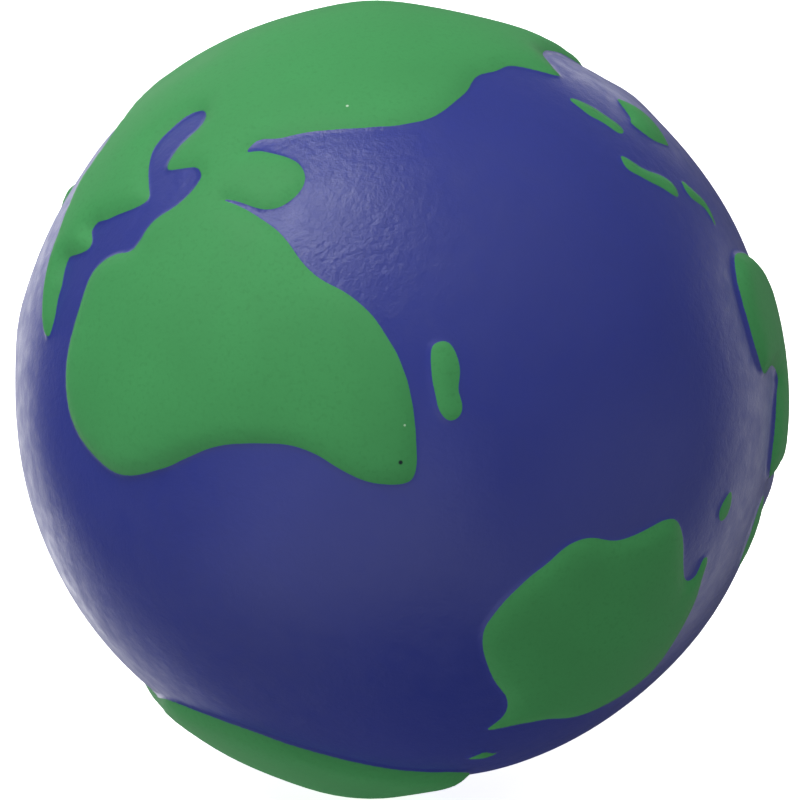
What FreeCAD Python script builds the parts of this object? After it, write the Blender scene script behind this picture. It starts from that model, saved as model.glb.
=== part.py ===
import FreeCAD, Part
import math
import os

from BOPTools import SplitAPI

# Earth-globe stress ball: a soft polyurethane foam moulding. A closed foam core carries a dense moulded skin,
# painted ocean blue, and the lands stand out of that skin as raised, green-painted plateaus.
#
# Millimetres. The origin is the ball's centre. +Z is up as the ball lies, +X is to the right, +Y points away.

# ---------------------------------------------------------------- driving dimensions
BALL_DIAMETER = 70.0  # over the raised lands
LAND_RELIEF = 1.1  # how far the lands stand out of the ocean
SKIN_THICKNESS = 0.8  # dense layer that forms against the mould wall

# The globe doesn't lie with its north pole up: the pole leans towards the back left.
POLE_LEAN_DEG = 52.0  # from +Z
POLE_LEAN_TOWARDS_DEG = 147.0  # from +X, counter-clockwise about +Z
GLOBE_SPIN_DEG = 85.0  # about the globe's own axis, before it leans

# ---------------------------------------------------------------- worked out from them
LAND_RADIUS = BALL_DIAMETER / 2
OCEAN_RADIUS = LAND_RADIUS - LAND_RELIEF
CORE_RADIUS = OCEAN_RADIUS - SKIN_THICKNESS
WALL_MARGIN = LAND_RELIEF  # how far a coast's cutting wall runs past the shell that it cuts
WALL_SPANS = 4  # outline points that each face of a coast's wall covers

# ---------------------------------------------------------------- coasts
# Each coast is a closed outline of (longitude, latitude) points in degrees, joined by one smooth curve.
AFRICA_MEDITERRANEAN = [
    (36.4, 29.3), (33, 28.6), (30.2, 28.9), (27.3, 29.8), (24.3, 30), (21.4, 29.3), (19.7, 29.5),
    (18, 30.9), (16.1, 32.2), (13.6, 33.1), (10.6, 33.1), (8.1, 32.1), (5.2, 30.6), (1.3, 28.6),
]
AFRICA_ATLANTIC = [
    (-2.1, 26.4), (-5.1, 23.2), (-7.1, 19.3), (-7.6, 15.4), (-7, 11), (-5.4, 6.7), (-1.8, 3.3), (2.5, 0.6),
    (6.4, -1.3), (10.4, -3.6), (14.3, -7.2), (17.7, -11.1), (19.7, -15.1), (20.5, -19), (21.7, -22.9),
    (24.2, -26.4),
]
AFRICA_INDIAN_OCEAN = [
    (26.8, -27.9), (29.6, -26.6), (32.5, -23.9), (35.5, -20.3), (38, -16), (39.5, -11.1), (40.1, -6.2),
    (39.5, -1.7), (38.3, 2.7), (38.2, 5.6), (38.8, 9.6), (38.8, 14),
]
AFRICA_RED_SEA = [(38.1, 17.9), (37.2, 21.2), (36.5, 23.5), (36.6, 25.3), (37, 27.4)]

# Asia's outline starts inside Africa, where the two lands join at the isthmus.
ARABIA = [
    (34.3, 26.2), (35.6, 24), (36.8, 22.6), (37.9, 20.7), (38.8, 18.4), (39.8, 16.4), (41.5, 15.1),
    (43.8, 14.6), (46.3, 15), (48, 16.6), (48.6, 18.8), (48.1, 21.2), (47, 23.9), (45.9, 25.8),
    (44.9, 26.9),
]
ASIA_INDIAN_OCEAN = [
    (46.7, 27.4), (49, 25.7), (51.9, 23.4), (55.4, 20.6), (58.7, 17.6), (62.3, 14.6), (65.8, 12.5),
    (69.3, 11.5), (73.7, 11.9), (78, 12.9), (81.8, 14.4), (85.7, 14), (88.9, 14.1), (91.3, 12.9),
    (94.1, 10.7), (96.9, 9.6), (97.6, 11), (99, 13), (100.6, 15),
]
ASIA_PACIFIC = [
    (103.5, 16.4), (107, 17), (113, 16.5), (119, 15.5), (123.5, 18.5), (122.5, 24.5), (120, 30), (120, 35),
    (123.5, 38.5), (127, 35.5), (129.5, 37), (129.5, 42), (134, 45), (139, 50), (137, 54.5), (144, 59),
    (154, 59), (156, 53), (161, 54), (165, 60), (175, 62), (187, 65),
]
EURASIA_ARCTIC = [
    (180, 69), (160, 70.5), (138, 72.5), (112, 76), (96, 76), (79, 73.5), (62, 72), (48, 69.5), (39, 66),
    (33, 62.5),
]
EUROPE_ATLANTIC = [
    (27.3, 59.7), (23, 57.6), (19, 56.8), (15, 55.6), (11.5, 53.8), (7.9, 51), (3.3, 47.6), (-0.9, 44.4),
    (-4, 40.2), (-5.6, 36.6),
]
EUROPE_MEDITERRANEAN = [
    (-5.3, 34.2), (-3.4, 34.6), (-1.2, 36), (0.6, 37.4), (2.8, 38.8), (4.5, 40.6), (6.4, 41.4), (8.3, 40.4),
    (10.4, 39), (12.4, 38.3), (13.8, 39.2), (14.5, 40.9), (15.9, 41), (18.1, 39.6), (20.5, 38.2),
    (22.9, 36.6), (25.3, 35.2), (27.4, 34.8),
]
BLACK_SEA_AND_LEVANT = [
    (28.8, 36.6), (30.2, 39.1), (31.9, 41.5), (34.2, 43.5), (37.6, 44.5), (41, 44.4), (44.3, 43.8),
    (46.3, 42), (44.8, 39.2), (42.4, 38.6), (38.6, 38.5), (35.6, 37.8), (33.5, 36.2), (34.3, 35),
    (36, 33.3), (37.2, 31.6), (36.8, 29.7), (35.5, 28.3),
]

# North America's outline ends inside South America, at the narrow neck between them.
AMERICA_ARCTIC = [
    (-165, 62), (-166, 66.5), (-157, 71), (-140, 70), (-124, 70.5), (-110, 68.5), (-96, 69.5), (-86, 68.5),
    (-88, 63.5), (-94, 59.5), (-87, 55.5), (-80, 52.5), (-77.5, 57), (-76, 62),
]
AMERICA_ATLANTIC = [
    (-64, 60), (-57, 58.5), (-49.5, 55.5), (-44.2, 52.2), (-48.6, 48.8), (-58, 47.5), (-68, 43.5),
    (-74, 38.5), (-79, 32.5), (-79.5, 26.5), (-83, 27.5), (-89, 29.5), (-96, 28), (-97, 21.5), (-92, 18),
    (-87, 20.5), (-87.5, 15.5), (-83.5, 11.5), (-80, 7.5), (-79, 2.5),
]
AMERICA_PACIFIC = [
    (-83, 2), (-87, 9.5), (-95, 14.5), (-104, 19), (-110, 26), (-117, 32), (-122, 37.5), (-124.5, 44),
    (-128, 51), (-137, 58), (-149, 60), (-158, 56.5),
]

LANDS = {
    "africa": AFRICA_MEDITERRANEAN + AFRICA_ATLANTIC + AFRICA_INDIAN_OCEAN + AFRICA_RED_SEA,
    "europe_and_asia": ARABIA + ASIA_INDIAN_OCEAN + ASIA_PACIFIC + EURASIA_ARCTIC + EUROPE_ATLANTIC
    + EUROPE_MEDITERRANEAN + BLACK_SEA_AND_LEVANT,
    "south_america": [
        (-54.6, -7.8), (-49.3, -10), (-44.9, -13), (-42.2, -16.8), (-40.4, -21), (-39.4, -26),
        (-39.7, -31.2), (-40.8, -35.3), (-42.1, -39.6), (-44, -43.3), (-46.2, -46.6), (-49.1, -50.1),
        (-52.3, -53.3), (-56.4, -56), (-61.4, -57.3), (-67.5, -56.2), (-73.5, -53), (-78, -48.5),
        (-79.5, -43), (-77.5, -37), (-75.5, -30), (-77, -22), (-82, -15), (-85, -8), (-82.5, -2),
        (-80.5, 3), (-76, 5.5), (-71, 3.5), (-65, 0), (-60, -4.7),
    ],
    "north_america": AMERICA_ARCTIC + AMERICA_ATLANTIC + AMERICA_PACIFIC,
    "australia": [
        (107.5, -32.3), (108.3, -28.4), (110.6, -25.7), (114.5, -24.6), (121, -24), (129, -24.3),
        (137, -22.8), (144, -21.5), (150.5, -26), (154, -34), (155, -42), (151.5, -48),
        (145, -51.7), (139.1, -54.4), (133.4, -56.4), (129.5, -55), (127, -51.4), (125.7, -46.9),
        (126.6, -44.1), (127.6, -42.2), (123, -41), (118.5, -42.2), (114.5, -43.1), (110.9, -40.9),
        (108.5, -36.8),
    ],
    "antarctica": [
        (12.6, -51.5), (25.2, -51.5), (33, -52.1), (39.9, -52.6), (45.2, -54.6), (49, -57.2), (55.2, -58.9),
        (64.8, -59.9), (70.6, -60.9), (73.7, -63.6), (74.9, -67.2), (76, -70.9), (80.8, -73.5), (86.9, -73),
        (91.5, -70.7), (94.2, -70.9), (96.2, -73.4), (99.6, -77.2), (103.5, -81.8), (114, -86.2),
        (250, -88.6), (292, -85.6), (303, -82.4), (310.3, -79.7), (315.8, -76.8), (324.3, -73.7),
        (330, -71.2), (332.2, -67.9), (332.7, -64.6), (333.2, -61.5), (337, -62.5), (343.6, -63.2),
        (349.9, -62.2), (354, -60.2), (358, -57.9), (2.1, -55.7), (6.8, -53.2),
    ],
    "greenland": [
        (-36.5, 62), (-37.5, 58.3), (-44, 58), (-53, 63), (-62, 70), (-74, 76.5), (-84, 80.5), (-70, 83.5),
        (-48, 82.5), (-42, 77.5), (-46, 71.5), (-41.5, 66.5),
    ],
    "madagascar": [
        (44.3, -16.2), (45.7, -17.3), (45.3, -19.8), (43.7, -22), (42.1, -23.4), (40.9, -25.4),
        (39.4, -26.2), (37.8, -25.7), (37.5, -24.2), (38.7, -21.8), (40.6, -19), (42.5, -16.9),
    ],
    "sumatra": [
        (93, 2.9), (93, 4.2), (95, 2.5), (96.6, -0.3), (97.3, -3.1), (96.9, -3.2), (95.1, -1.1),
        (93.6, 0.9),
    ],
    "borneo": [
        (102.4, -1.7), (104.3, 1.3), (105.6, 3.1), (107.3, 2.8), (109.7, 0.9), (110.5, -2), (110, -4.2),
        (108.8, -6.1), (106.7, -5.9), (103.7, -4.6),
    ],
    "java": [
        (91.5, -8.4), (92.1, -7.5), (94.3, -9.5), (96.9, -11.2), (99.4, -12.3), (100.9, -14.4),
        (100.2, -15.4), (97.5, -14.2), (94.5, -12.2), (92.3, -10.4),
    ],
    "timor": [
        (104, -14.3), (104.4, -13.4), (107, -15.1), (109.1, -17.3), (108.5, -20.2), (107.8, -18.3),
        (105.6, -16.5),
    ],
    "new_guinea": [
        (141, -6), (145, -4), (150, -5.5), (154, -9), (156, -13), (152.5, -14), (147, -12), (142.5, -9.5),
    ],
    "philippines": [
        (134, -9.9), (131.7, -6.9), (130.3, -2.4), (130, 1.9), (132.6, 2.4), (134.7, -1.8),
        (136.2, -6.4),
    ],
    "japan": [
        (131.5, 32), (136, 34.5), (140.5, 37), (143.5, 41.5), (145.5, 44), (142.5, 45.5), (139.5, 41.5),
        (136.5, 37.8), (131.5, 35),
    ],
    "new_zealand_north_island": [
        (150.2, -68.5), (141.4, -67.9), (135.6, -64.8), (133.8, -60.8), (136.7, -58.6),
        (142.5, -59), (148.8, -62), (151.9, -65.9),
    ],
    "new_zealand_south_island": [
        (188.5, -59.2), (193.6, -61.6), (201, -61.2), (202, -57.5), (196, -55.2), (190.5, -56.5),
    ],
    "kerguelen": [
        (95.2, -63.3), (98.2, -61.4), (100.6, -60.8), (103.1, -63.2), (99.7, -65.2), (96.7, -64.9),
    ],
    "south_georgia": [
        (-48.5, -61), (-44.9, -59.2), (-43.9, -60), (-43.1, -61.3), (-46, -62.5), (-46.9, -63),
    ],
    "iceland": [(-7.5, 73), (-8.5, 70.6), (-17, 69.7), (-31, 69.6), (-42, 71.8), (-38, 75.8), (-20, 75.8)],
    "baffin_island": [
        (-70, 63.5), (-67, 66.5), (-74, 71), (-84, 73.5), (-91, 72), (-84, 69.5), (-77, 65.5),
    ],
    "cuba": [(-84.5, 22), (-80, 23.5), (-75, 21), (-73.5, 19.5), (-78, 20), (-82, 21)],
}

# Where two outlines overlap, the second land ends at the first one's wall, so the two meet face to face.
JOINED_LANDS = {"europe_and_asia": "africa", "north_america": "south_america"}


def globe_rotation():
    """Turns the globe from pole-up to the way the ball lies."""
    up = FreeCAD.Vector(0, 0, 1)
    spin = FreeCAD.Rotation(up, GLOBE_SPIN_DEG)
    lean = FreeCAD.Rotation(FreeCAD.Vector(0, 1, 0), POLE_LEAN_DEG)
    towards = FreeCAD.Rotation(up, POLE_LEAN_TOWARDS_DEG)
    return towards.multiply(lean).multiply(spin)


def globe_point(longitude, latitude, radius):
    """A point of the globe, as the ball lies, at this distance from its centre."""
    across = math.radians(longitude)
    above = math.radians(latitude)
    pole_up = FreeCAD.Vector(
        math.cos(above) * math.cos(across),
        math.cos(above) * math.sin(across),
        math.sin(above),
    )
    return globe_rotation().multVec(pole_up) * radius


def coast_curve(outline, radius):
    """The closed smooth curve through an outline's points, at this distance from the centre."""
    curve = Part.BSplineCurve()
    points = [globe_point(longitude, latitude, radius) for longitude, latitude in outline]
    curve.interpolate(Points=points, PeriodicFlag=True)
    return curve


def coast_stretches(outline, radius):
    """The coast's curve as a row of edges, each a few outline points long."""
    curve = coast_curve(outline, radius)
    knots = curve.getKnots()
    cuts = knots[:-1:WALL_SPANS] + knots[-1:]
    return [curve.toShape(start, end) for start, end in zip(cuts, cuts[1:])]


def coast_wall(outline):
    """A wall through the land's shell along its coast, square to the ball's surface everywhere."""
    inner = coast_stretches(outline, OCEAN_RADIUS - WALL_MARGIN)
    outer = coast_stretches(outline, LAND_RADIUS + WALL_MARGIN)
    return Part.makeCompound([Part.makeRuledSurface(*pair) for pair in zip(inner, outer)])


def hollow_ball(inner_radius, outer_radius):
    return Part.makeSphere(outer_radius).cut(Part.makeSphere(inner_radius))


def raised_land(outline):
    """The part of the land's shell inside one coast: the smaller of the two pieces that its wall leaves."""
    shell = hollow_ball(OCEAN_RADIUS, LAND_RADIUS)
    pieces = SplitAPI.slice(shell, [coast_wall(outline)], "Split").Solids
    return min(pieces, key=lambda piece: piece.Volume)


def make_lands():
    lands = {name: raised_land(outline) for name, outline in LANDS.items()}
    for name, neighbour in JOINED_LANDS.items():
        lands[name] = lands[name].cut(lands[neighbour])
    return lands


def make_parts():
    parts = {
        "foam_core": Part.makeSphere(CORE_RADIUS),
        "ocean_skin": hollow_ball(CORE_RADIUS, OCEAN_RADIUS),
    }
    parts.update(make_lands())
    return parts


def main():
    os.makedirs("parts", exist_ok=True)
    for name, shape in make_parts().items():
        if not shape.isValid() or len(shape.Solids) != 1:
            raise ValueError(f"{name} isn't one valid solid")
        shape.exportStep(f"parts/{name}.step")
        print(f"{name}: {shape.Volume:.1f} mm3, {len(shape.Faces)} faces")


main()
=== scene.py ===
import math
from collections import namedtuple

import bmesh
import bpy
import numpy as np
from mathutils import Matrix, Vector
from mathutils.bvhtree import BVHTree


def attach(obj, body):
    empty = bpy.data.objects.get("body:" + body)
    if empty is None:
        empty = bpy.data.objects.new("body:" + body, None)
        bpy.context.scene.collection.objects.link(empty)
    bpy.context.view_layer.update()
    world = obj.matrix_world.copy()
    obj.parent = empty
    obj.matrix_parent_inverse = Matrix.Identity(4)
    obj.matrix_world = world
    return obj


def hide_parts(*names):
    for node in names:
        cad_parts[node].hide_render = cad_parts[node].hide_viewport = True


# Earth-globe stress ball: one soft foam moulding with a blue skin and green lands that stand out of it.
# The frame's solids give every coast and radius. Here the whole outside is built once, as a fine mesh with
# soft shoulders along the coasts, and is then cut along the paint line into one closed piece for each solid.

MM = 0.001

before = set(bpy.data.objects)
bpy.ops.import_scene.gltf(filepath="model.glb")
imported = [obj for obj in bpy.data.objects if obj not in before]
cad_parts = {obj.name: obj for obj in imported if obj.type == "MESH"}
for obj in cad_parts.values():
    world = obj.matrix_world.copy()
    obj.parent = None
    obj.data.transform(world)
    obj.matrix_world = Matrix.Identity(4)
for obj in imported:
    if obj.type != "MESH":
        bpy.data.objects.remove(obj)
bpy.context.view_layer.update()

CORE = "foam_core"
OCEAN = "ocean_skin"
LANDS = sorted(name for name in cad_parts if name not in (CORE, OCEAN))


# ---------------------------------------------------------------- what the frame's solids say
def node_arrays(name):
    """A solid's corner points and its triangles, as arrays."""
    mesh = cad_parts[name].data
    mesh.calc_loop_triangles()
    points = np.empty(len(mesh.vertices) * 3)
    mesh.vertices.foreach_get("co", points)
    triangles = np.empty(len(mesh.loop_triangles) * 3, dtype=int)
    mesh.loop_triangles.foreach_get("vertices", triangles)
    return points.reshape(-1, 3), triangles.reshape(-1, 3)


def lengths(vectors):
    return np.linalg.norm(vectors, axis=-1)


def unit(vectors):
    return vectors / lengths(vectors)[..., None]


def face_vectors(corners):
    """Each triangle's normal, as long as twice its area."""
    return np.cross(corners[:, 1] - corners[:, 0], corners[:, 2] - corners[:, 0])


CENTRE = Vector((0, 0, 0))
CORE_RADIUS = lengths(node_arrays(CORE)[0]).max()
OCEAN_RADIUS = lengths(node_arrays(OCEAN)[0]).max()
LAND_RADIUS = max(lengths(node_arrays(name)[0]).max() for name in LANDS)
MIDDLE_RADIUS = (OCEAN_RADIUS + LAND_RADIUS) / 2
RELIEF = LAND_RADIUS - OCEAN_RADIUS

# ---------------------------------------------------------------- soft shape of the moulding
TOE = 0.22 * MM  # how far a land's slope reaches out over the ocean from its coast
SHOULDER = 2.0 * MM  # and how far its rounded shoulder reaches inland
ROUNDNESS = 1.6  # how much steeper the slope is at its toe than on the shoulder
SOFTENING_PASSES = 6  # how often the slopes are averaged with what is round them
NARROW = 2.0 * MM  # a land whose middle is nearer than this to its coast doesn't rise to the full height
LOWEST_RISE = 0.55  # the share of the full height that the narrowest lands still reach
LOW_LANDS = {  # these lands are lower than the rest, and reach this share of their height
    "antarctica": 0.65,
    "borneo": 0.7,
    "kerguelen": 0.35,
    "new_zealand_north_island": 0.35,
    "philippines": 0.6,
}
WORN_SIDE = unit(np.array((0.1, -0.8, 0.6)))  # handling has pressed the lands flatter on this side,
WORN_SHARE = 0.45  # down to this share of their height,
WORN_FROM, WORN_TO = 0.40, 0.92  # between these cosines of the angle from its middle
TALLER = 0.006  # the ball is a little longer along this axis than across it
TALL_AXIS = unit(np.array((-0.26, 0.0, 0.97)))
LUMP_HEIGHT, LUMP_PITCH = 0.05 * MM, 14 * MM  # shallow waves all over the ball
SWELLINGS = (  # where the soft ball stands out or is pressed in: direction, height, and how wide in degrees
    ((0.21, 0.17, 0.96), -0.45 * MM, 8),
    ((0.44, 0.16, 0.88), -0.42 * MM, 4),
    ((0.62, 0.14, 0.78), 0.30 * MM, 3),
    ((-0.07, 0.17, 0.98), 0.30 * MM, 5),
    ((-0.72, 0.12, 0.68), 0.40 * MM, 5),
    ((-0.98, 0.04, 0.20), 0.24 * MM, 4),
    ((-0.91, 0.07, 0.42), 0.30 * MM, 16),
    ((-0.56, -0.14, -0.82), -0.32 * MM, 5),
    ((-0.14, -0.17, -0.98), 0.60 * MM, 6.5),
    ((0.12, -0.17, -0.98), -0.70 * MM, 3.5),
    ((0.98, -0.04, -0.21), 0.45 * MM, 3),
)

# ---------------------------------------------------------------- the green print
PAINT_INSET = 0.03 * MM  # the green stops this far up the slope from the coast
PAINT_WANDER, WANDER_PITCH = 0.02 * MM, 2.4 * MM  # how far its edge strays to each side, and over what length
BROAD_PRINTS = {  # lands whose green reaches further out than their own coast, and by how much
    "antarctica": 0.08 * MM,
    "borneo": 0.15 * MM,
    "java": 0.12 * MM,
    "sumatra": 0.30 * MM,
    "timor": 0.20 * MM,
}
PRINT_SLIP = 0.19 * MM  # the whole green print sits this far to one side of the moulded lands,
PRINT_AXIS = Vector((0.1, 0.17, 0.98))  # turned about this axis

# ---------------------------------------------------------------- how the pieces are made
FLOOR_DEPTH = 0.1 * MM  # how far the lands are let into the skin
FLOOR_GAP = 0.02 * MM  # between the skin's floor and the land that lies on it
CELL_DEPTH, CELL_SIZE = 0.12 * MM, 1.3 * MM  # open cells on the foam core
CELL_SHARE = 0.3  # the noise has to pass this for a cell to open
CELL_WAVES = 24  # how many waves the cells' noise is made of
BASE_LEVEL = 6  # subdivisions of the icosahedron far from any coast
COAST_BANDS = (2.2 * MM, 1.2 * MM, 0.52 * MM)  # within each of these of a coast, the mesh is halved
CUT_REACH = 1 * MM  # only edges whose ends lie this near to the paint line are cut
CLOSE_SHARE = 0.2  # a point within this share of an edge from the paint line is moved onto it
WALL_LEAN = 0.5  # side walls are the faces whose normals' cosine with straight outwards is below this
LOOK_OUT = 0.1 * MM  # how far out from a wall to look for a land on its other side
NEAR_COAST = 2  # a point less than this many reaches out over the ocean counts with its nearest land
PAINT_SEED, LUMP_SEED, CELL_SEED = 3, 11, 21


# ---------------------------------------------------------------- coasts
def land_tree():
    """A search tree over all the lands' triangles, and the number of each triangle's land."""
    points = []
    triangles = []
    owners = []
    start = 0
    for number, name in enumerate(LANDS):
        corners, faces = node_arrays(name)
        points.append(corners)
        triangles.append(faces + start)
        owners.append(np.full(len(faces), number))
        start += len(corners)
    tree = BVHTree.FromPolygons(np.concatenate(points).tolist(), np.concatenate(triangles).tolist())
    return tree, np.concatenate(owners)


LAND_TREE, LAND_OWNERS = land_tree()


def land_under(directions):
    """The number of the land in each direction from the centre, or -1 over the ocean."""
    found = np.full(len(directions), -1)
    for index, direction in enumerate(directions):
        triangle = LAND_TREE.ray_cast(CENTRE, Vector(direction))[2]
        if triangle is not None:
            found[index] = LAND_OWNERS[triangle]
    return found


def nearest_land(directions):
    """The number of the land in each direction, or of the nearest one over the ocean."""
    found = land_under(directions)
    for index in np.flatnonzero(found < 0):
        found[index] = LAND_OWNERS[LAND_TREE.find_nearest(Vector(directions[index] * MIDDLE_RADIUS))[2]]
    return found


def coast_tree():
    """A search tree over the lands' side walls, without the walls where two lands meet."""
    walls = []
    for name in LANDS:
        points, triangles = node_arrays(name)
        corners = points[triangles]
        vectors = face_vectors(corners)
        sound = lengths(vectors) > 0
        corners = corners[sound]
        normals = unit(vectors[sound])
        middles = corners.mean(axis=1)
        steep = np.abs((normals * unit(middles)).sum(axis=1)) < WALL_LEAN
        outside = middles[steep] + normals[steep] * LOOK_OUT
        meets = land_under(unit(outside)) >= 0
        walls.append(corners[steep][~meets])
    points = np.concatenate(walls).reshape(-1, 3)
    triangles = np.arange(len(points)).reshape(-1, 3)
    return BVHTree.FromPolygons(points.tolist(), triangles.tolist())


COAST_TREE = coast_tree()


def coast_distance(directions):
    """How far each direction's place, half way up the lands, is from the nearest open coast."""
    places = directions * MIDDLE_RADIUS
    return np.array([COAST_TREE.find_nearest(Vector(place))[3] for place in places])


def coast_height(directions, land):
    """Distance inland from the nearest coast, and less than nothing over the ocean."""
    return coast_distance(directions) * np.where(land >= 0, 1, -1)


# ---------------------------------------------------------------- cutting triangles
def edge_table(triangles):
    """Each edge once, and for each triangle the numbers of its three edges."""
    sides = np.sort(triangles[:, [[0, 1], [1, 2], [2, 0]]].reshape(-1, 2), axis=1)
    edges, number = np.unique(sides, axis=0, return_inverse=True)
    return edges, number.reshape(-1, 3)


def cut_edges(triangles, number, fresh):
    """Splits triangles at the new points on their edges. fresh holds each edge's new point, or -1."""
    middle = fresh[number]
    cuts = (middle >= 0).sum(axis=1)
    first = np.zeros(len(triangles), dtype=int)
    for side in range(3):
        lone_cut = (cuts == 1) & (middle[:, side] >= 0)
        lone_whole = (cuts == 2) & (middle[:, side] < 0)
        first[lone_cut] = side
        first[lone_whole] = (side + 1) % 3
    turn = (np.arange(3) + first[:, None]) % 3
    corner = np.take_along_axis(triangles, turn, axis=1)
    middle = np.take_along_axis(middle, turn, axis=1)
    a, b, c = corner.T
    p, q, r = middle.T
    patterns = {
        0: [(a, b, c)],
        1: [(a, p, c), (p, b, c)],
        2: [(a, p, c), (p, b, q), (p, q, c)],
        3: [(a, p, r), (p, b, q), (r, q, c), (p, q, r)],
    }
    made = []
    for count, pattern in patterns.items():
        chosen = np.flatnonzero(cuts == count)
        for three in pattern:
            made.append(np.stack(three, axis=1)[chosen])
    return np.concatenate(made)


def halve(points, triangles, chosen):
    """Puts a point in the middle of every edge of the chosen triangles."""
    edges, number = edge_table(triangles)
    cut = np.zeros(len(edges), dtype=bool)
    cut[number[chosen].ravel()] = True
    fresh = np.full(len(edges), -1)
    fresh[cut] = len(points) + np.arange(cut.sum())
    ends = points[edges[cut]]
    return np.concatenate([points, unit(ends.mean(axis=1))]), cut_edges(triangles, number, fresh)


def crossings(values, edges):
    """Which edges the line of no value crosses, and how far along each one."""
    start, end = values[edges].T
    crosses = (start * end < 0) & (np.abs(start) < CUT_REACH) & (np.abs(end) < CUT_REACH)
    return crosses, start / np.where(crosses, start - end, 1)


def cut_at_zero(points, triangles, values):
    """Cuts triangles along the line where the values pass through nothing. A point close to the line is moved
    onto it first."""
    edges, number = edge_table(triangles)
    crosses, share = crossings(values, edges)
    for side, closeness in ((0, share), (1, 1 - share)):
        close = crosses & (closeness < CLOSE_SHARE)
        moved = edges[close, side]
        other = edges[close, 1 - side]
        step = closeness[close][:, None]
        points[moved] = unit(points[moved] * (1 - step) + points[other] * step)
        values[moved] = 0
    crosses, share = crossings(values, edges)
    fresh = np.full(len(edges), -1)
    fresh[crosses] = len(points) + np.arange(crosses.sum())
    ends = points[edges[crosses]]
    share = share[crosses][:, None]
    added = unit(ends[:, 0] * (1 - share) + ends[:, 1] * share)
    triangles = cut_edges(triangles, number, fresh)
    return np.concatenate([points, added]), triangles, np.concatenate([values, np.zeros(len(added))])


# ---------------------------------------------------------------- smooth noise over the ball
SHORTEST, LONGEST = 0.75, 1.5  # the waves' pitches, as shares of the size asked for
USUAL_PEAK = 1.6  # the sum of the waves seldom passes this before it is scaled
WAVE_COUNT = 14  # how many waves are added up, unless more are asked for


def waves(places, seed, size, count=WAVE_COUNT):
    """Smooth seeded noise between about -1 and 1, with features of this size."""
    random = np.random.default_rng(seed)
    directions = unit(random.normal(size=(count, 3)))
    pitches = size * random.uniform(SHORTEST, LONGEST, count)
    phases = random.uniform(0, 2 * math.pi, count)
    turns = places @ (directions / pitches[:, None]).T * 2 * math.pi + phases
    return np.sin(turns).sum(axis=1) * math.sqrt(2 / count) / USUAL_PEAK


# ---------------------------------------------------------------- the ball's outside
def icosphere(level):
    """Unit points and triangles of an evenly divided icosahedron."""
    shape = bmesh.new()
    bmesh.ops.create_icosphere(shape, subdivisions=level, radius=1)
    points = np.array([vertex.co for vertex in shape.verts])
    triangles = np.array([[vertex.index for vertex in face.verts] for face in shape.faces])
    shape.free()
    return unit(points), triangles


def smooth_step(share):
    share = np.clip(share, 0, 1)
    return share * share * (3 - 2 * share)


def soften(values, triangles):
    """Averages each value with its neighbours' a few times."""
    edges, _ = edge_table(triangles)
    neighbours = np.bincount(edges.ravel(), minlength=len(values))
    for _ in range(SOFTENING_PASSES):
        total = np.bincount(edges[:, 0], values[edges[:, 1]], len(values))
        total += np.bincount(edges[:, 1], values[edges[:, 0]], len(values))
        values = (values + total / neighbours) / 2
    return values


def out_of_round(directions):
    """How much longer or shorter the ball is in each direction than a true sphere."""
    along = directions @ TALL_AXIS
    return 1 + TALLER * (2 * along * along - 1)


def swollen(directions):
    """How far the surface stands out in each direction."""
    total = np.zeros(len(directions))
    for middle, height, width in SWELLINGS:
        across = math.radians(width)
        total += height * np.exp((directions @ unit(np.array(middle)) - 1) / across ** 2)
    return total


def wear(directions):
    """The share of the lands' height that is left in each direction."""
    facing = directions @ WORN_SIDE
    return 1 - (1 - WORN_SHARE) * smooth_step((facing - WORN_FROM) / (WORN_TO - WORN_FROM))


def paint_height(directions):
    """Distance inland from the edge of the green print, and less than nothing outside it."""
    printed = directions @ np.array(Matrix.Rotation(PRINT_SLIP / OCEAN_RADIUS, 3, PRINT_AXIS))
    height = coast_height(printed, land_under(printed)) - PAINT_INSET
    near = height > -NEAR_COAST * max(BROAD_PRINTS.values())
    broader = np.array([BROAD_PRINTS.get(name, 0) for name in LANDS])
    height[near] += broader[nearest_land(printed[near])]
    return height + waves(directions * OCEAN_RADIUS, PAINT_SEED, WANDER_PITCH) * PAINT_WANDER


def fine_ball():
    """Unit points and triangles, finer along the coasts and cut along the paint line."""
    points, triangles = icosphere(BASE_LEVEL)
    for band in COAST_BANDS:
        middles = unit(points[triangles].mean(axis=1))
        points, triangles = halve(points, triangles, coast_distance(middles) < band)
    return cut_at_zero(points, triangles, paint_height(points))


def land_of_triangles(points, triangles, paint):
    """The land that each triangle is painted as, or -1 for the ocean."""
    painted = paint[triangles].sum(axis=1) > 0
    owner = np.full(len(triangles), -1)
    middles = unit(points[triangles].mean(axis=1))
    owner[painted] = nearest_land(middles[painted])
    return owner


def point_normals(points, triangles):
    """The normal at each point: the mean of the triangles round it, weighed by their areas."""
    vectors = face_vectors(points[triangles])
    total = np.zeros_like(points)
    for corner in range(3):
        np.add.at(total, triangles[:, corner], vectors)
    return unit(total)


def slope(inland):
    """The share of the full height at each distance from the coast: a steep toe and a rounded shoulder."""
    share = np.clip((inland + TOE) / (TOE + SHOULDER), 0, 1)
    return 1 - (1 - share) ** ROUNDNESS


def land_heights(inland, land):
    """The share of the full height that each land reaches, at each point on or nearest to it."""
    middles = np.array([inland[land == index].max() for index in range(len(LANDS))])
    reached = LOWEST_RISE + (1 - LOWEST_RISE) * np.clip(middles / NARROW, 0, 1)
    reached *= np.array([LOW_LANDS.get(name, 1) for name in LANDS])
    near = inland > -NEAR_COAST * TOE
    heights = np.ones(len(inland))
    heights[near] = reached[nearest_land(DIRECTIONS[near])]
    return heights


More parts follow.
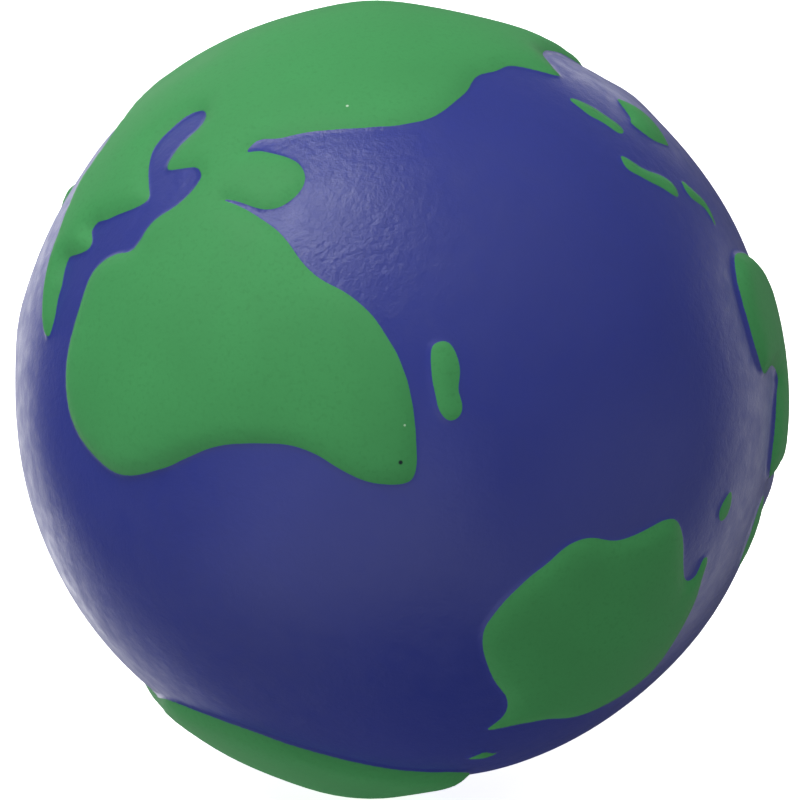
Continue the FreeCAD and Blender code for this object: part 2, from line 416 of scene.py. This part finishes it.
DIRECTIONS, SKIN, PAINT = fine_ball()
OWNER = land_of_triangles(DIRECTIONS, SKIN, PAINT)
LAND = land_under(DIRECTIONS)
INLAND = coast_height(DIRECTIONS, LAND)
RISE = soften(slope(INLAND), SKIN) * land_heights(INLAND, LAND) * wear(DIRECTIONS) * RELIEF
ROUND = out_of_round(DIRECTIONS)
LUMPS = waves(DIRECTIONS * OCEAN_RADIUS, LUMP_SEED, LUMP_PITCH) * LUMP_HEIGHT + swollen(DIRECTIONS)
OUTSIDE = DIRECTIONS * ((OCEAN_RADIUS + RISE) * ROUND + LUMPS)[:, None]
NORMALS = point_normals(OUTSIDE, SKIN)


# ---------------------------------------------------------------- pieces
def make_piece(name, points, triangles, normals, material):
    """A mesh object whose triangles take these normals, three to a triangle."""
    mesh = bpy.data.meshes.new(name)
    mesh.from_pydata(points.tolist(), [], triangles.tolist())
    mesh.materials.append(material)
    mesh.shade_smooth()
    mesh.normals_split_custom_set(normals.reshape(-1, 3).tolist())
    piece = bpy.data.objects.new(name, mesh)
    bpy.context.scene.collection.objects.link(piece)
    return piece


def rim_edges(triangles):
    """The edges that only one triangle uses, in that triangle's direction."""
    sides = triangles[:, [[0, 1], [1, 2], [2, 0]]].reshape(-1, 2)
    ordered = np.sort(sides, axis=1)
    _, number, uses = np.unique(ordered, axis=0, return_inverse=True, return_counts=True)
    return sides[uses[number.ravel()] == 1]


def flat_normals(points, triangles):
    """Each triangle's own normal for its three corners, and none for a triangle without area."""
    vectors = face_vectors(points[triangles])
    size = np.maximum(lengths(vectors), np.finfo(float).tiny)[:, None]
    return np.repeat((vectors / size)[:, None, :], 3, axis=1)


def wall_below(rim, count):
    """Two triangles along each rim edge, down to the points that are numbered this much higher."""
    start, end = rim.T
    return np.concatenate([
        np.stack([end, start, start + count], axis=1),
        np.stack([end, start + count, end + count], axis=1),
    ])


def used_only(points, triangles):
    """The points that these triangles use, and the triangles renumbered to match."""
    kept, number = np.unique(triangles, return_inverse=True)
    return points[kept], number.reshape(-1, 3)


def sunk(depth):
    """The outside without its lands, let in by this much."""
    return DIRECTIONS * (OCEAN_RADIUS * ROUND + LUMPS - depth)[:, None]


NO_LINING = np.empty((0, 3)), np.empty((0, 3), dtype=int)


def cut_piece(name, top, floor, depth, material, lining=NO_LINING):
    """A closed piece: its part of the outside, a wall from the rim of that down to a floor at this depth, and
    a lining's points and triangles."""
    count = len(OUTSIDE)
    lining_points, lining_triangles = lining
    points = np.concatenate([OUTSIDE, sunk(depth), lining_points])
    walls = wall_below(rim_edges(top), count)
    hidden = np.concatenate([walls, floor + count, lining_triangles + 2 * count])
    normals = np.concatenate([NORMALS[top], flat_normals(points, hidden)])
    points, triangles = used_only(points, np.concatenate([top, hidden]))
    return make_piece(name, points, triangles, normals, material)


def land_piece(name, material):
    """A slab: the land's painted top, and a floor that lies in the skin."""
    top = SKIN[OWNER == LANDS.index(name)]
    return cut_piece(name, top, top[:, ::-1], FLOOR_DEPTH, material)


def core_radii(directions):
    """The core's radius in each direction."""
    return CORE_RADIUS * out_of_round(directions) + swollen(directions)


def ocean_piece(material):
    """The skin: the blue outside, which drops to a floor under each land, and the face against the core."""
    directions, triangles = icosphere(BASE_LEVEL - 1)
    lining = directions * core_radii(directions)[:, None], triangles[:, ::-1]
    return cut_piece(OCEAN, SKIN[OWNER < 0], SKIN[OWNER >= 0], FLOOR_DEPTH + FLOOR_GAP, material, lining)


def core_piece(material):
    """The foam body, with shallow open cells against the skin."""
    directions, triangles = icosphere(BASE_LEVEL)
    cells = np.clip(waves(directions * CORE_RADIUS, CELL_SEED, CELL_SIZE, CELL_WAVES) - CELL_SHARE, 0, None)
    depth = FLOOR_GAP + cells * CELL_DEPTH
    points = directions * (core_radii(directions) - depth)[:, None]
    normals = point_normals(points, triangles)[triangles]
    return make_piece(CORE, points, triangles, normals, material)


# ---------------------------------------------------------------- materials
# One layer of bumps: the size of its features, the noise's detail and roughness, and its strength and height.
Bumps = namedtuple("Bumps", "size detail roughness strength height")

USUAL_NOISE = (0.3, 0.7)  # most values of a noise texture lie between these
SPOT_EDGE = (0.3, 0.6)  # a spot fades out between these distances from its middle, as shares of its width
MIX_INPUTS = (0, 6, 7)  # a colour mix's sockets for the share, the first colour and the second
MIX_OUTPUT = 2


def new_material(name):
    material = bpy.data.materials.new(name)
    material.use_nodes = True
    return material, material.node_tree.nodes, material.node_tree.links


def noise(nodes, links, place, size, detail=2.0, roughness=0.5):
    """Noise with features of this size in metres."""
    node = nodes.new("ShaderNodeTexNoise")
    node.inputs["Scale"].default_value = 1 / size
    node.inputs["Detail"].default_value = detail
    node.inputs["Roughness"].default_value = roughness
    links.new(place, node.inputs["Vector"])
    return node.outputs["Fac"]


def feed(links, value, socket):
    """Gives a socket a constant, a colour, or another node's output."""
    if isinstance(value, bpy.types.NodeSocket):
        links.new(value, socket)
    elif isinstance(value, tuple):
        socket.default_value = (*value, 1)
    else:
        socket.default_value = value


def mix(nodes, links, share, first, second):
    """The first colour where the share is 0, and the second where it is 1."""
    node = nodes.new("ShaderNodeMix")
    node.data_type = "RGBA"
    share_socket, first_socket, second_socket = (node.inputs[index] for index in MIX_INPUTS)
    feed(links, share, share_socket)
    feed(links, first, first_socket)
    feed(links, second, second_socket)
    return node.outputs[MIX_OUTPUT]


def spread(nodes, links, value, old, new):
    """Maps a value from its old range onto a new one, and holds it there."""
    node = nodes.new("ShaderNodeMapRange")
    node.inputs["From Min"].default_value, node.inputs["From Max"].default_value = old
    node.inputs["To Min"].default_value, node.inputs["To Max"].default_value = new
    links.new(value, node.inputs["Value"])
    return node.outputs["Result"]


def bump(nodes, links, features, strength, height, under=None):
    node = nodes.new("ShaderNodeBump")
    feed(links, strength, node.inputs["Strength"])
    node.inputs["Distance"].default_value = height
    links.new(features, node.inputs["Height"])
    if under is not None:
        links.new(under, node.inputs["Normal"])
    return node.outputs["Normal"]


def relief(nodes, links, place, layers):
    """Layers of bumps, each laid over the one before it."""
    normal = None
    for layer in layers:
        features = noise(nodes, links, place, layer.size, layer.detail, layer.roughness)
        normal = bump(nodes, links, features, layer.strength, layer.height, normal)
    return normal


def spot(nodes, links, place, direction, width):
    """1 inside a soft-edged spot on the outside in this direction, and 0 beyond it."""
    away = nodes.new("ShaderNodeVectorMath")
    away.operation = "DISTANCE"
    links.new(place, away.inputs[0])
    nearest = np.argmax(DIRECTIONS @ unit(np.array(direction)))
    away.inputs[1].default_value = OUTSIDE[nearest]
    fades = [share * width for share in SPOT_EDGE]
    return spread(nodes, links, away.outputs["Value"], fades, (1, 0))


def place_of(nodes):
    return nodes.new("ShaderNodeTexCoord").outputs["Object"]


BLUE = (0.028, 0.041, 0.266)
BLUE_DEEP = (0.023, 0.035, 0.240)
BLUE_CLOUDS = 9 * MM  # the size of its lighter and darker patches,
BLUE_MOTTLE = 1.6 * MM  # and of its rougher and smoother ones
BLUE_ROUGHNESS = (0.30, 0.43)
BLUE_IOR = 1.5
CREASED_PLACE = (-0.22, -0.77, 0.59)  # the skin is finely creased round here,
CREASED_WIDTH = 26 * MM  # over about this width,
CREASES_ELSEWHERE = 0.35  # and this strongly everywhere else


def blue_paint():
    """Satin blue over soft foam: faint mottle, shallow dents, fine creases and a finer grain."""
    material, nodes, links = new_material("blue_ocean_paint")
    shader = nodes["Principled BSDF"]
    place = place_of(nodes)
    clouds = noise(nodes, links, place, BLUE_CLOUDS, detail=3)
    links.new(mix(nodes, links, clouds, BLUE_DEEP, BLUE), shader.inputs["Base Color"])
    mottle = noise(nodes, links, place, BLUE_MOTTLE, detail=4)
    links.new(spread(nodes, links, mottle, USUAL_NOISE, BLUE_ROUGHNESS), shader.inputs["Roughness"])
    creased = spot(nodes, links, place, CREASED_PLACE, CREASED_WIDTH)
    creasing = spread(nodes, links, creased, (0, 1), (CREASES_ELSEWHERE, 1))
    dents = Bumps(size=2.6 * MM, detail=2, roughness=0.5, strength=0.6, height=0.06 * MM)
    creases = Bumps(size=0.8 * MM, detail=5, roughness=0.65, strength=creasing, height=0.12 * MM)
    grain = Bumps(size=0.28 * MM, detail=2, roughness=0.5, strength=0.6, height=0.02 * MM)
    links.new(relief(nodes, links, place, (dents, creases, grain)), shader.inputs["Normal"])
    shader.inputs["IOR"].default_value = BLUE_IOR
    return material


GREEN = (0.059, 0.312, 0.098)
GREEN_DEEP = (0.048, 0.262, 0.080)
GREEN_CLOUDS = 6 * MM  # the size of its lighter and darker patches,
GREEN_SPECKLE = 0.35 * MM  # and of its specks
SPECKLE_RANGE = (0.52, 0.75)  # the speckle's noise turns from green to deep green between these
GREEN_ROUGHNESS = (0.60, 0.72)
GREEN_IOR = 1.45
GREEN_SHINE = 0.25  # half of the shader's usual specular level
PAINT_FAULTS_AND_PIT_SHADE = (  # a near-black spot of painted shade where a small pit is, and two pale specks in the print: the direction from the centre, the width and the colour
    # painted shade: this near-black spot stands for the shade inside a small pit, and the surface under it
    # has no hollow
    ((0.010, -1.0, 0.016), 0.40 * MM, (0.006, 0.012, 0.020)),
    ((0.023, -0.994, 0.109), 0.20 * MM, (0.45, 0.62, 0.45)),
    ((-0.13, -0.53, 0.84), 0.26 * MM, (0.50, 0.66, 0.50)),
)


def green_paint():
    """A flatter green, brushed on thin: fine speckle, slightly darker patches, two pale specks, and one
    near-black spot of painted shade where a small pit is.
    """
    material, nodes, links = new_material("green_land_paint")
    shader = nodes["Principled BSDF"]
    place = place_of(nodes)
    clouds = noise(nodes, links, place, GREEN_CLOUDS, detail=3)
    base = mix(nodes, links, clouds, GREEN_DEEP, GREEN)
    speckle = spread(nodes, links, noise(nodes, links, place, GREEN_SPECKLE), SPECKLE_RANGE, (0, 1))
    colour = mix(nodes, links, speckle, base, GREEN_DEEP)
    # the near-black spot is painted shade of a pit; the two pale ones are specks in the print
    for direction, width, fault_and_shade_colour in PAINT_FAULTS_AND_PIT_SHADE:
        colour = mix(nodes, links, spot(nodes, links, place, direction, width), colour, fault_and_shade_colour)
    links.new(colour, shader.inputs["Base Color"])
    links.new(spread(nodes, links, clouds, USUAL_NOISE, GREEN_ROUGHNESS), shader.inputs["Roughness"])
    dents = Bumps(size=2.2 * MM, detail=2, roughness=0.5, strength=0.5, height=0.05 * MM)
    peel = Bumps(size=0.4 * MM, detail=3, roughness=0.5, strength=0.6, height=0.02 * MM)
    links.new(relief(nodes, links, place, (dents, peel)), shader.inputs["Normal"])
    shader.inputs["IOR"].default_value = GREEN_IOR
    shader.inputs["Specular IOR Level"].default_value = GREEN_SHINE
    return material


FOAM = (0.72, 0.68, 0.56)
FOAM_PALER = 1.1  # how much lighter the middle of a cell is than its edge
FOAM_CELL = 0.6 * MM
FOAM_REACH = (0, 0.6)  # distances from a cell's middle, as shares of its size
FOAM_ROUGHNESS = (0.8, 0.95)
FOAM_BUMP_STRENGTH, FOAM_BUMP_HEIGHT = 0.8, 0.1 * MM


def cut_foam():
    """Fine-celled cream foam."""
    material, nodes, links = new_material("soft_foam")
    shader = nodes["Principled BSDF"]
    cells = nodes.new("ShaderNodeTexVoronoi")
    cells.inputs["Scale"].default_value = 1 / FOAM_CELL
    links.new(place_of(nodes), cells.inputs["Vector"])
    depth = cells.outputs["Distance"]
    pale = tuple(min(1, channel * FOAM_PALER) for channel in FOAM)
    links.new(mix(nodes, links, depth, pale, FOAM), shader.inputs["Base Color"])
    links.new(spread(nodes, links, depth, FOAM_REACH, FOAM_ROUGHNESS), shader.inputs["Roughness"])
    links.new(bump(nodes, links, depth, FOAM_BUMP_STRENGTH, FOAM_BUMP_HEIGHT), shader.inputs["Normal"])
    return material


# ---------------------------------------------------------------- the ball
def stand_in(piece, node):
    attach(piece, "root")
    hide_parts(node)


def build_ball():
    stand_in(core_piece(cut_foam()), CORE)
    stand_in(ocean_piece(blue_paint()), OCEAN)
    green = green_paint()
    for name in LANDS:
        stand_in(land_piece(name, green), name)


# ---------------------------------------------------------------- studio
UP = Vector((0, 0, 1))
LAMP_DISTANCE = 0.8  # metres
FLOOR_LEVEL = OUTSIDE[:, 2].min()

# A soft area lamp that faces the ball. Its azimuth and elevation are in degrees, and the azimuth is
# counter-clockwise from +X. Its glow is its brightness over white paper's in full light. A lamp that isn't
# mirrored leaves no gloss on the ball.
Lamp = namedtuple("Lamp", "name azimuth elevation width height glow mirrored")
LAMPS = (
    Lamp("key", -150, 56, 0.54, 0.54, 5.6, True),
    Lamp("bounce", 165, -48, 1, 1, 1.35, False),
    Lamp("table", 118, -32, 0.4, 0.4, 0.8, True),
    Lamp("top_fill", -50, 60, 1, 1, 1.1, False),
    Lamp("front_fill", -105, -28, 1.2, 0.9, 0.68, True),
    Lamp("right_fill", -20, -28, 0.9, 0.9, 0.35, True),
    Lamp("left_strip", 116, 5, 0.35, 0.9, 1.7, True),
    Lamp("right_strip", 43, -16, 0.3, 0.8, 1.0, True),
    Lamp("upper_strip", 72, 18, 0.2, 0.2, 1.6, True),
)
ROOM_BELOW, ROOM_ABOVE = 0.06, 0.18  # how bright the room is below the ball and above it,
ROOM_TURNS = (-0.4, 0.2)  # with the change between these heights of a direction's unit vector

FLOOR_WHITES = ((0.93, 0.93, 0.93), (0.95, 0.95, 0.95))
FLOOR_GRAIN = 4 * MM
FLOOR_ROUGHNESS = 0.9
FLOOR_GLOW = 0.9
SWEEP = (  # the radius and height of each ring of the floor, in metres
    (1.5, 0.0),
    (2.4, 0.1),
    (3.1, 0.5),
    (3.6, 1.2),
    (3.9, 2.2),
    (4.0, 3.4),
)
SWEEP_SIDES = 72


def direction_of(azimuth, elevation):
    """A unit vector from an azimuth and an elevation in degrees."""
    across = math.radians(azimuth)
    above = math.radians(elevation)
    return Vector((math.cos(above) * math.cos(across), math.cos(above) * math.sin(across), math.sin(above)))


def look_at(place, target):
    """A pose at this place whose -Z points to the target."""
    back = (place - target).normalized()
    right = UP.cross(back).normalized()
    over = back.cross(right)
    pose = Matrix((right, over, back)).transposed().to_4x4()
    pose.translation = place
    return pose


def floor_material():
    material, nodes, links = new_material("white_sweep")
    shader = nodes["Principled BSDF"]
    shader.inputs["Roughness"].default_value = FLOOR_ROUGHNESS
    grain = noise(nodes, links, place_of(nodes), FLOOR_GRAIN)
    links.new(mix(nodes, links, grain, *FLOOR_WHITES), shader.inputs["Base Color"])
    shader.inputs["Emission Color"].default_value = (1, 1, 1, 1)
    shader.inputs["Emission Strength"].default_value = FLOOR_GLOW
    return material


def add_floor():
    """A flat pale floor that curves up far away on every side."""
    points = []
    for radius, height in SWEEP:
        for side in range(SWEEP_SIDES):
            turn = 2 * math.pi * side / SWEEP_SIDES
            points.append((radius * math.cos(turn), radius * math.sin(turn), height))
    faces = [tuple(range(SWEEP_SIDES))]
    for ring in range(len(SWEEP) - 1):
        for side in range(SWEEP_SIDES):
            start = ring * SWEEP_SIDES + side
            after = ring * SWEEP_SIDES + (side + 1) % SWEEP_SIDES
            faces.append((start, start + SWEEP_SIDES, after + SWEEP_SIDES, after))
    mesh = bpy.data.meshes.new("floor")
    mesh.from_pydata(points, [], faces)
    mesh.shade_smooth()
    mesh.materials.append(floor_material())
    floor = bpy.data.objects.new("floor", mesh)
    floor.location = (0, 0, FLOOR_LEVEL)
    floor.visible_diffuse = False
    floor.visible_glossy = False
    floor.visible_shadow = False
    bpy.context.scene.collection.objects.link(floor)


def add_softbox(lamp):
    light = bpy.data.lights.new(lamp.name, "AREA")
    light.shape = "RECTANGLE"
    light.size = lamp.width
    light.size_y = lamp.height
    light.energy = lamp.glow * math.pi * lamp.width * lamp.height
    softbox = bpy.data.objects.new(lamp.name, light)
    softbox.visible_camera = False
    softbox.visible_glossy = lamp.mirrored
    softbox.matrix_world = look_at(direction_of(lamp.azimuth, lamp.elevation) * LAMP_DISTANCE, CENTRE)
    bpy.context.scene.collection.objects.link(softbox)


def add_world():
    """A pale room that is darker below the ball than above it."""
    world = bpy.data.worlds.new("studio")
    world.use_nodes = True
    nodes = world.node_tree.nodes
    links = world.node_tree.links
    parts = nodes.new("ShaderNodeSeparateXYZ")
    links.new(nodes.new("ShaderNodeTexCoord").outputs["Generated"], parts.inputs["Vector"])
    strength = spread(nodes, links, parts.outputs["Z"], ROOM_TURNS, (ROOM_BELOW, ROOM_ABOVE))
    links.new(strength, nodes["Background"].inputs["Strength"])
    nodes["Background"].inputs["Color"].default_value = (1, 1, 1, 1)
    bpy.context.scene.world = world


SENSOR = 36.0  # mm
BALL_IN_PICTURE = 0.478125  # the ocean's radius as a share of the picture's width
BALL_TO_LEFT = 0.004375  # how far the ball's centre is from the picture's middle, as shares of the width
BALL_ABOVE = 0.002125
CAMERA_DISTANCE = 0.6  # metres
CAMERA_ELEVATION = 10  # degrees
NEAREST_SEEN, FARTHEST_SEEN = 0.01, 20  # metres


def add_camera():
    """A camera in front of the ball, a little above it, that looks down to it."""
    camera = bpy.data.objects.new("camera", bpy.data.cameras.new("camera"))
    to_outline = math.sqrt(CAMERA_DISTANCE ** 2 - OCEAN_RADIUS ** 2)
    camera.data.sensor_width = SENSOR
    camera.data.lens = SENSOR * BALL_IN_PICTURE * to_outline / OCEAN_RADIUS
    camera.data.clip_start = NEAREST_SEEN
    camera.data.clip_end = FARTHEST_SEEN
    eye = direction_of(-90, CAMERA_ELEVATION) * CAMERA_DISTANCE
    picture_width = CAMERA_DISTANCE * SENSOR / camera.data.lens
    picture_up = direction_of(90, 90 - CAMERA_ELEVATION)
    aim = (Vector((BALL_TO_LEFT, 0, 0)) - picture_up * BALL_ABOVE) * picture_width
    camera.matrix_world = look_at(eye, aim)
    bpy.context.scene.collection.objects.link(camera)
    bpy.context.scene.camera = camera


build_ball()
add_floor()
add_world()
for lamp in LAMPS:
    add_softbox(lamp)
add_camera()
bpy.context.scene.view_settings.view_transform = "Standard"
